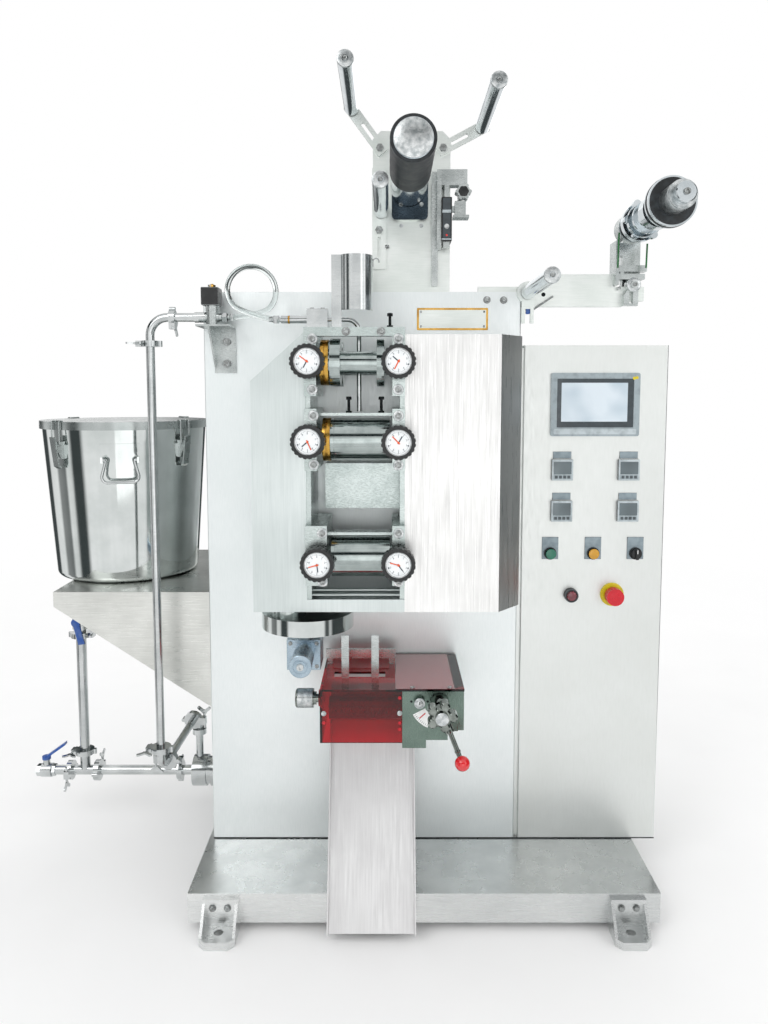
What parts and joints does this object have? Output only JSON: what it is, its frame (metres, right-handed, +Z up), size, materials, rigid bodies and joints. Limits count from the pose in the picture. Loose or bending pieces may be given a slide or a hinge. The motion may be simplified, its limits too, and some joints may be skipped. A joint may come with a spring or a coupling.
{
  "type": "liquid packing machine",
  "caption": "Upright liquid sachet packing machine: film spindle, guide rollers, sealing roller stations, rotary cutter, discharge chute, feed tank with pump line and control cabinet.",
  "frame": {"origin": "on the floor, midway between the four anchor bolt holes", "axes": "+X to the right of the operator facing the machine, +Y away from the operator, +Z up"},
  "size_m": [1.574, 1.037, 1.8044],
  "materials": {
    "stainless_sheet": "matte brushed",
    "brushed_guard": "long vertical grain",
    "polished_steel": "polished",
    "ground_steel": "ground",
    "machined_steel": "machined",
    "black_plastic": "moulded",
    "control_plastic": "moulded",
    "screen_plastic": "moulded",
    "black_rubber": "smooth",
    "clear_plastic": "clear",
    "red_acrylic": "clear red",
    "red_plastic": "moulded",
    "green_plastic": "moulded",
    "amber_plastic": "moulded",
    "blue_lever": "dipped sleeve"
  },
  "bodies": {
    "machine": {"base_plinth": "stainless_sheet", "anchor_feet": "machined_steel", "main_cabinet": "stainless_sheet", "control_cabinet": "stainless_sheet", "left_guard": "stainless_sheet", "right_guard": "brushed_guard", "guard_tray": "stainless_sheet", "station_frames": "machined_steel", "film_plate": "machined_steel", "film_former": "polished_steel", "photo_eye": "machined_steel", "arm_plate": "machined_steel", "reel_bracket": "machined_steel", "solenoid_bracket": "polished_steel", "solenoid_valve": "machined_steel", "filling_tube": "polished_steel", "clear_hose": "clear_plastic", "riser_pipe": "polished_steel", "suction_pipe": "polished_steel", "pump": "polished_steel", "tank_shell": "polished_steel", "tank_lid": "polished_steel", "tank_shelf": "stainless_sheet", "disc_hood": "machined_steel", "cutter_cover": "red_acrylic", "cutter_gearbox": "machined_steel", "inlet_guides": "machined_steel", "discharge_chute": "stainless_sheet", "touch_panel": "screen_plastic", "control_fittings": "control_plastic"},
    "film_spindle": {"film_spindle": "black_rubber"},
    "ribbon_spindle": {"ribbon_spindle": "polished_steel"},
    "guide_roller_upper_left": {"guide_roller_upper_left": "polished_steel"},
    "guide_roller_upper_right": {"guide_roller_upper_right": "polished_steel"},
    "guide_roller_middle": {"guide_roller_middle": "polished_steel"},
    "guide_roller_arm": {"guide_roller_arm": "polished_steel"},
    "middle_roller_front": {"middle_roller_front": "ground_steel"},
    "middle_roller_rear": {"middle_roller_rear": "ground_steel"},
    "top_roller_front": {"top_roller_front": "ground_steel"},
    "top_roller_rear": {"top_roller_rear": "ground_steel"},
    "lower_roller_front": {"lower_roller_front": "ground_steel"},
    "lower_roller_rear": {"lower_roller_rear": "ground_steel"},
    "dial_wheel_top_left": {"dial_wheel_top_left": "black_plastic"},
    "dial_wheel_top_right": {"dial_wheel_top_right": "black_plastic"},
    "dial_wheel_middle_left": {"dial_wheel_middle_left": "black_plastic"},
    "dial_wheel_middle_right": {"dial_wheel_middle_right": "black_plastic"},
    "dial_wheel_lower_left": {"dial_wheel_lower_left": "black_plastic"},
    "dial_wheel_lower_right": {"dial_wheel_lower_right": "black_plastic"},
    "micrometer_knob": {"micrometer_knob": "machined_steel"},
    "cutter_side_knob": {"cutter_side_knob": "machined_steel"},
    "star_handwheel": {"star_handwheel": "machined_steel"},
    "clamp_lever": {"clamp_lever": "machined_steel"},
    "drain_lever": {"drain_lever": "blue_lever"},
    "tank_valve_lever": {"tank_valve_lever": "blue_lever"},
    "tank_handle_front": {"tank_handle_front": "polished_steel"},
    "tank_handle_rear": {"tank_handle_rear": "polished_steel"},
    "emergency_stop": {"emergency_stop": "red_plastic"},
    "start_button": {"start_button": "green_plastic"},
    "pause_button": {"pause_button": "amber_plastic"},
    "selector_switch": {"selector_switch": "black_plastic"}
  },
  "joints": [
    {"name": "film_spindle_turn", "type": "hinge", "parent": "machine", "child": "film_spindle", "pos_m": [-0.032, -0.4, 1.615], "axis": [0, 1, 0], "continuous": true},
    {"name": "ribbon_spindle_turn", "type": "hinge", "parent": "machine", "child": "ribbon_spindle", "pos_m": [0.478, -0.35, 1.533], "axis": [0, 1, 0], "continuous": true},
    {"name": "guide_roller_upper_left_turn", "type": "hinge", "parent": "machine", "child": "guide_roller_upper_left", "pos_m": [-0.159, -0.35, 1.787], "axis": [0, 1, 0], "continuous": true},
    {"name": "guide_roller_upper_right_turn", "type": "hinge", "parent": "machine", "child": "guide_roller_upper_right", "pos_m": [0.132, -0.35, 1.748], "axis": [0, 1, 0], "continuous": true},
    {"name": "guide_roller_middle_turn", "type": "hinge", "parent": "machine", "child": "guide_roller_middle", "pos_m": [-0.093, -0.35, 1.565], "axis": [0, 1, 0], "continuous": true},
    {"name": "guide_roller_arm_turn", "type": "hinge", "parent": "machine", "child": "guide_roller_arm", "pos_m": [0.239, -0.35, 1.386], "axis": [0, 1, 0], "continuous": true},
    {"name": "middle_roller_front_turn", "type": "hinge", "parent": "machine", "child": "middle_roller_front", "pos_m": [-0.146, -0.3575, 1.062], "axis": [1, 0, 0], "continuous": true},
    {"name": "middle_roller_rear_turn", "type": "hinge", "parent": "machine", "child": "middle_roller_rear", "pos_m": [-0.146, -0.2725, 1.062], "axis": [1, 0, 0], "continuous": true},
    {"name": "top_roller_front_turn", "type": "hinge", "parent": "machine", "child": "top_roller_front", "pos_m": [-0.146, -0.365, 1.222], "axis": [1, 0, 0], "continuous": true},
    {"name": "top_roller_rear_turn", "type": "hinge", "parent": "machine", "child": "top_roller_rear", "pos_m": [-0.146, -0.265, 1.222], "axis": [1, 0, 0], "continuous": true},
    {"name": "lower_roller_front_turn", "type": "hinge", "parent": "machine", "child": "lower_roller_front", "pos_m": [-0.146, -0.3575, 0.812], "axis": [1, 0, 0], "continuous": true},
    {"name": "lower_roller_rear_turn", "type": "hinge", "parent": "machine", "child": "lower_roller_rear", "pos_m": [-0.146, -0.2725, 0.812], "axis": [1, 0, 0], "continuous": true},
    {"name": "dial_wheel_top_left_turn", "type": "hinge", "parent": "machine", "child": "dial_wheel_top_left", "pos_m": [-0.239, -0.43, 1.222], "axis": [0, 1, 0], "continuous": true},
    {"name": "dial_wheel_top_right_turn", "type": "hinge", "parent": "machine", "child": "dial_wheel_top_right", "pos_m": [-0.057, -0.43, 1.222], "axis": [0, 1, 0], "continuous": true},
    {"name": "dial_wheel_middle_left_turn", "type": "hinge", "parent": "machine", "child": "dial_wheel_middle_left", "pos_m": [-0.239, -0.43, 1.062], "axis": [0, 1, 0], "continuous": true},
    {"name": "dial_wheel_middle_right_turn", "type": "hinge", "parent": "machine", "child": "dial_wheel_middle_right", "pos_m": [-0.057, -0.43, 1.06], "axis": [0, 1, 0], "continuous": true},
    {"name": "dial_wheel_lower_left_turn", "type": "hinge", "parent": "machine", "child": "dial_wheel_lower_left", "pos_m": [-0.222, -0.43, 0.812], "axis": [0, 1, 0], "continuous": true},
    {"name": "dial_wheel_lower_right_turn", "type": "hinge", "parent": "machine", "child": "dial_wheel_lower_right", "pos_m": [-0.057, -0.43, 0.812], "axis": [0, 1, 0], "continuous": true},
    {"name": "micrometer_knob_turn", "type": "hinge", "parent": "machine", "child": "micrometer_knob", "pos_m": [-0.258, -0.4, 0.6], "axis": [0, 1, 0], "continuous": true},
    {"name": "cutter_side_knob_turn", "type": "hinge", "parent": "machine", "child": "cutter_side_knob", "pos_m": [-0.25, -0.345, 0.495], "axis": [1, 0, 0], "continuous": true},
    {"name": "star_handwheel_turn", "type": "hinge", "parent": "machine", "child": "star_handwheel", "pos_m": [0.029, -0.48, 0.517], "axis": [0, 1, 0], "continuous": true},
    {"name": "clamp_lever_turn", "type": "hinge", "parent": "machine", "child": "clamp_lever", "pos_m": [0.029, -0.45, 0.517], "axis": [0, 1, 0], "range_deg": [-45, 60]},
    {"name": "drain_lever_turn", "type": "hinge", "parent": "machine", "child": "drain_lever", "pos_m": [-0.985, 0.005, 0.195], "axis": [0, 0, 1], "range_deg": [-90, 0]},
    {"name": "tank_valve_lever_turn", "type": "hinge", "parent": "machine", "child": "tank_valve_lever", "pos_m": [-0.882, -0.03, 0.57], "axis": [0, 1, 0], "range_deg": [0, 90]},
    {"name": "tank_handle_front_turn", "type": "hinge", "parent": "machine", "child": "tank_handle_front", "pos_m": [-0.72502, -0.1175, 0.998], "axis": [-0.9703, -0.2419, 0], "range_deg": [0, 100]},
    {"name": "tank_handle_rear_turn", "type": "hinge", "parent": "machine", "child": "tank_handle_rear", "pos_m": [-0.83098, 0.3075, 0.998], "axis": [0.9703, 0.2419, 0], "range_deg": [0, 100]},
    {"name": "emergency_stop_press", "type": "slide", "parent": "machine", "child": "emergency_stop", "axis": [0, 1, 0], "range_m": [0, 0.004]},
    {"name": "start_button_press", "type": "slide", "parent": "machine", "child": "start_button", "axis": [0, 1, 0], "range_m": [0, 0.003], "stiffness_N_per_m": 800},
    {"name": "pause_button_press", "type": "slide", "parent": "machine", "child": "pause_button", "axis": [0, 1, 0], "range_m": [0, 0.003], "stiffness_N_per_m": 800},
    {"name": "selector_switch_turn", "type": "hinge", "parent": "machine", "child": "selector_switch", "pos_m": [0.5, -0.2, 0.786], "axis": [0, 1, 0], "range_deg": [0, 90]}
  ],
  "couplings": [
    {"joint": "middle_roller_rear_turn", "follows": "middle_roller_front_turn", "ratio": -1},
    {"joint": "top_roller_front_turn", "follows": "middle_roller_front_turn", "ratio": 0.85714},
    {"joint": "top_roller_rear_turn", "follows": "middle_roller_front_turn", "ratio": -0.85714},
    {"joint": "lower_roller_front_turn", "follows": "middle_roller_front_turn", "ratio": 1},
    {"joint": "lower_roller_rear_turn", "follows": "middle_roller_front_turn", "ratio": -1}
  ]
}
